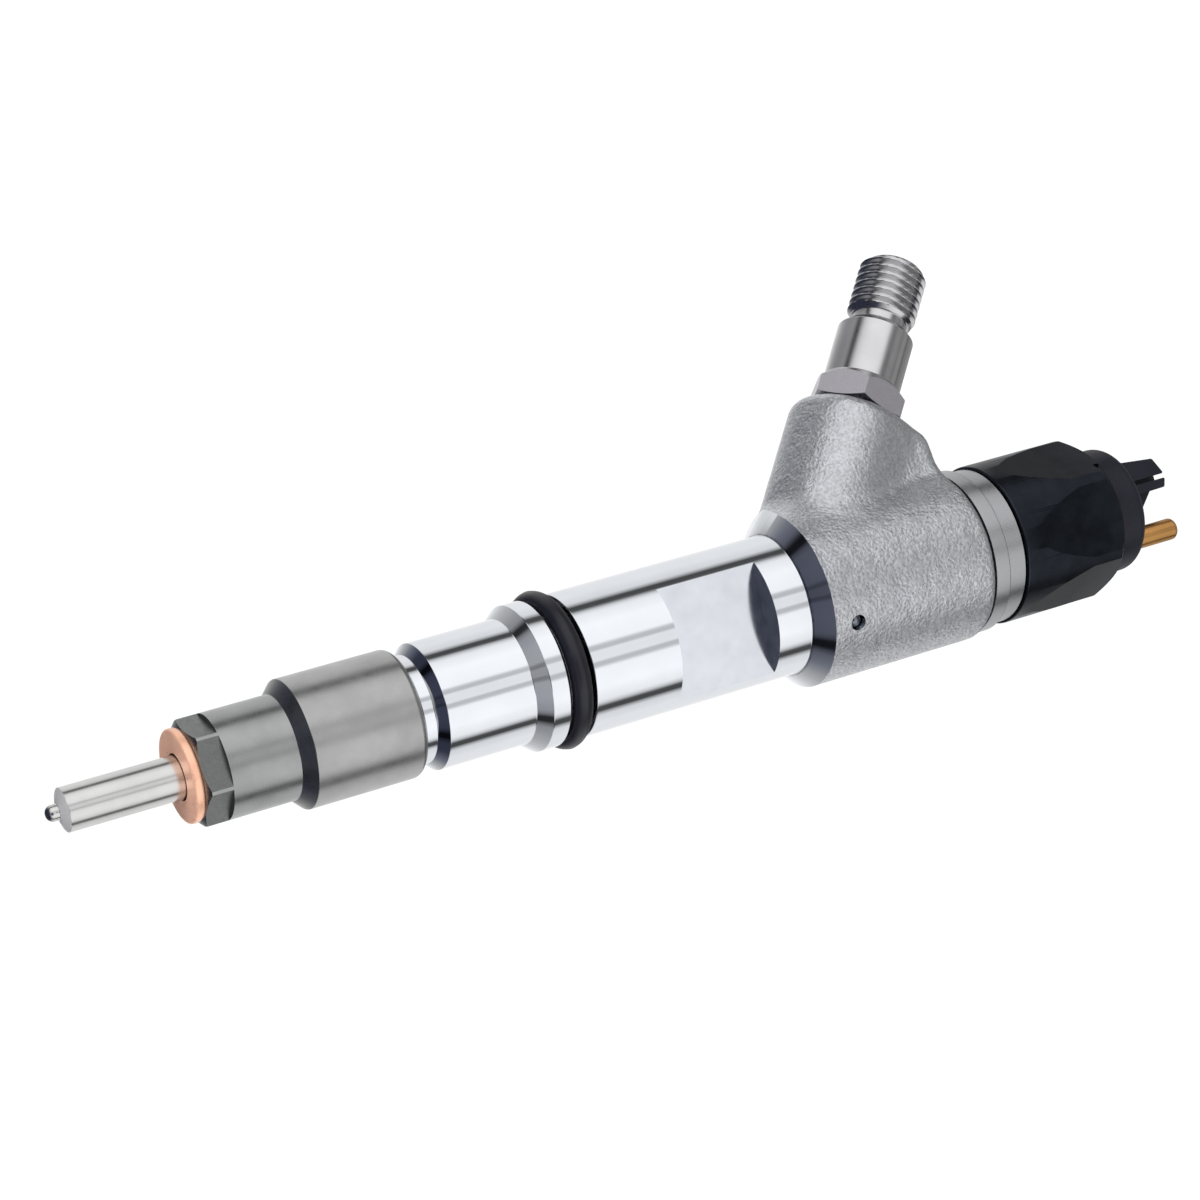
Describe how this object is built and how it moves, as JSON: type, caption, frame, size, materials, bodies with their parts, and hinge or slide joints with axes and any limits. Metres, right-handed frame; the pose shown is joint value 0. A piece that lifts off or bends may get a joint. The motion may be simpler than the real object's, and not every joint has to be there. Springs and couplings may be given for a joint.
{
  "type": "fuel injector",
  "caption": "Slender metal fuel injector: spray nozzle, copper washer, hex nut, bright stepped body with an O-ring, forged barrel with an angled threaded inlet arm, black nut and two terminals.",
  "frame": {"origin": "on the injector axis, in the plane where the copper washer seats in the cylinder head", "axes": "+X along the injector axis from the spray tip to the terminals, +Z on the side of the inlet arm, whose axis lies in the XZ plane"},
  "size_m": [0.208, 0.0296, 0.0688],
  "materials": {
    "plated_steel": "bright zinc-chrome plating on turned steel",
    "rough_forging": "shot-blasted forged surface with the same plating",
    "nozzle_steel": "satin ground",
    "bright_steel": "ground or lapped",
    "phosphated_steel": "grey phosphate on turned steel",
    "inlet_steel": "satin turned, lightly phosphated",
    "blackened_steel": "satin black oxide",
    "spring_steel": "drawn wire",
    "magnet_iron": "sintered",
    "copper": "annealed copper",
    "gold_plate": "gold-plated",
    "black_rubber": "satin",
    "seal_plastic": "filled PTFE",
    "black_plastic": "glass-filled nylon"
  },
  "bodies": {
    "injector": {"injector_body": "plated_steel", "nozzle_body": "nozzle_steel", "nozzle_stop_plate": "bright_steel", "locating_dowels": "bright_steel", "nozzle_retaining_nut": "phosphated_steel", "copper_washer": "copper", "drilling_plug_ball": "bright_steel", "body_o_ring": "black_rubber", "nozzle_spring": "spring_steel", "nozzle_spring_shim": "bright_steel", "valve_body": "bright_steel", "valve_seal_ring": "seal_plastic", "stroke_shim": "bright_steel", "armature_guide": "bright_steel", "valve_clamp_screw": "phosphated_steel", "armature_spring": "spring_steel", "air_gap_shim": "bright_steel", "solenoid_housing": "bright_steel", "solenoid_core": "magnet_iron", "coil_bobbin": "black_plastic", "solenoid_coil": "copper", "solenoid_spring": "spring_steel", "solenoid_spring_shim": "bright_steel", "solenoid_nut": "blackened_steel", "solenoid_o_ring": "black_rubber", "terminal_cap": "black_plastic", "terminal_pin_near": "gold_plate", "terminal_pin_far": "gold_plate", "inlet_connector": "inlet_steel", "inlet_edge_filter": "bright_steel", "inlet_seat_ring": "bright_steel"},
    "needle": {"nozzle_needle": "bright_steel", "pressure_pin": "bright_steel"},
    "piston": {"control_piston": "bright_steel"},
    "armature": {"armature_pin": "bright_steel", "armature_lock_clip": "spring_steel"},
    "pilot_ball": {"valve_ball": "bright_steel", "ball_holder": "bright_steel"},
    "plate": {"armature_plate": "bright_steel"}
  },
  "joints": [
    {"name": "needle_lift", "type": "slide", "parent": "injector", "child": "needle", "axis": [1, 0, 0], "range_m": [0, 0.00025], "stiffness_N_per_m": 20000, "springref_m": -0.0015, "deforming": ["nozzle_spring"]},
    {"name": "piston_lift", "type": "slide", "parent": "injector", "child": "piston", "axis": [1, 0, 0], "range_m": [0, 0.00025]},
    {"name": "armature_lift", "type": "slide", "parent": "injector", "child": "armature", "axis": [1, 0, 0], "range_m": [0, 0.00006], "stiffness_N_per_m": 20000, "springref_m": -0.002, "deforming": ["solenoid_spring"]},
    {"name": "ball_lift", "type": "slide", "parent": "injector", "child": "pilot_ball", "axis": [1, 0, 0], "range_m": [0, 0.00006]},
    {"name": "plate_overtravel", "type": "slide", "parent": "armature", "child": "plate", "axis": [1, 0, 0], "range_m": [-0.00004, 0], "stiffness_N_per_m": 3000, "springref_m": 0.0003, "deforming": ["armature_spring"]}
  ],
  "couplings": [
    {"joint": "piston_lift", "follows": "needle_lift", "ratio": 1},
    {"joint": "ball_lift", "follows": "armature_lift", "ratio": 1}
  ]
}
